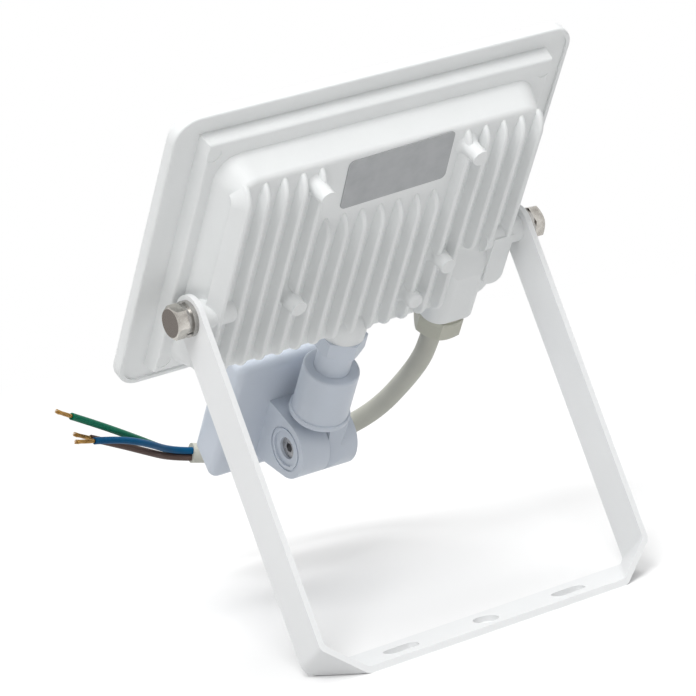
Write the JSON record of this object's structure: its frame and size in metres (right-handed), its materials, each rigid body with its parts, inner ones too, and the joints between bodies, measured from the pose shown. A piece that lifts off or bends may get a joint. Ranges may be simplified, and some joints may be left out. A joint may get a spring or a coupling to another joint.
{
  "type": "motion sensor floodlight",
  "caption": "Slim LED floodlight with a finned white housing, a U bracket and a swivelling motion sensor box below, short mains cable with bare cores.",
  "frame": {"origin": "middle of the bracket base's outer, mounting face, on the line of its holes", "axes": "+Z out of the mounting face into the bracket, +Y the way the lamp faces, +X to the right seen from behind the fins"},
  "size_m": [0.156, 0.1564, 0.1835],
  "materials": {
    "white_powder": "white powder coat, fine grain",
    "white_bracket": "white powder coat on steel strip",
    "glass": "clear tempered glass",
    "silicone": "soft grey",
    "reflector_white": "matt white",
    "board_white": "white coated board",
    "led_yellow": "phosphor",
    "steel": "stainless",
    "label_silver": "satin silver film",
    "gland_cream": "cream grey",
    "sensor_white": "cool white",
    "lens_white": "milky",
    "knob_white": "white",
    "screw_dark": "black oxide",
    "board_green": "circuit board",
    "relay_black": "black",
    "cable_cream": "cream grey sheath",
    "core_green": "green with yellow stripe",
    "core_blue": "blue",
    "core_brown": "brown",
    "copper": "bare copper strands"
  },
  "bodies": {
    "bracket": {"bracket": "white_bracket"},
    "head": {"rear_housing": "white_powder", "front_glass": "glass", "glass_gasket": "silicone", "reflector": "reflector_white", "led_board": "board_white", "leds": "led_yellow", "board_screws": "steel", "label_plate": "label_silver", "pivot_bolts": "steel", "flat_washers": "steel", "spring_washers": "steel", "gland_body": "gland_cream", "gland_nut": "gland_cream", "gland_seal": "cable_cream", "sensor_neck": "sensor_white", "sensor_nut": "sensor_white", "mains_cord": "cable_cream", "core_green": "core_green", "core_blue": "core_blue", "core_brown": "core_brown", "core_ends": "copper"},
    "socket": {"swivel_socket": "sensor_white", "knuckle_screw": "screw_dark", "knuckle_nut": "steel"},
    "sensor": {"sensor_shell": "sensor_white", "sensor_cover": "sensor_white", "sensor_lens": "lens_white", "sensor_board": "board_green", "pir_element": "steel", "relay": "relay_black"},
    "knob_time": {"knob_time": "knob_white"},
    "knob_lux": {"knob_lux": "knob_white"},
    "knob_sens": {"knob_sens": "knob_white"}
  },
  "joints": [
    {"name": "head_tilt", "type": "hinge", "parent": "bracket", "child": "head", "pos_m": [0, 0.04187, 0.11505], "axis": [1, 0, 0], "range_deg": [-54, 110]},
    {"name": "sensor_swivel", "type": "hinge", "parent": "head", "child": "socket", "pos_m": [0.0025, 0.09094, 0.05207], "axis": [0, -0.5906, 0.807], "range_deg": [-80, 80]},
    {"name": "sensor_tilt", "type": "hinge", "parent": "socket", "child": "sensor", "pos_m": [0.0025, 0.09094, 0.05207], "axis": [1, 0, 0], "range_deg": [-55, 4]},
    {"name": "knob_time_turn", "type": "hinge", "parent": "sensor", "child": "knob_time", "pos_m": [-0.0115, 0.1204, 0.05008], "axis": [0, 0.8891, -0.4576], "range_deg": [-135, 135]},
    {"name": "knob_lux_turn", "type": "hinge", "parent": "sensor", "child": "knob_lux", "pos_m": [-0.0005, 0.1204, 0.05008], "axis": [0, 0.8891, -0.4576], "range_deg": [-135, 135]},
    {"name": "knob_sens_turn", "type": "hinge", "parent": "sensor", "child": "knob_sens", "pos_m": [0.0105, 0.1204, 0.05008], "axis": [0, 0.8891, -0.4576], "range_deg": [-135, 135]}
  ]
}
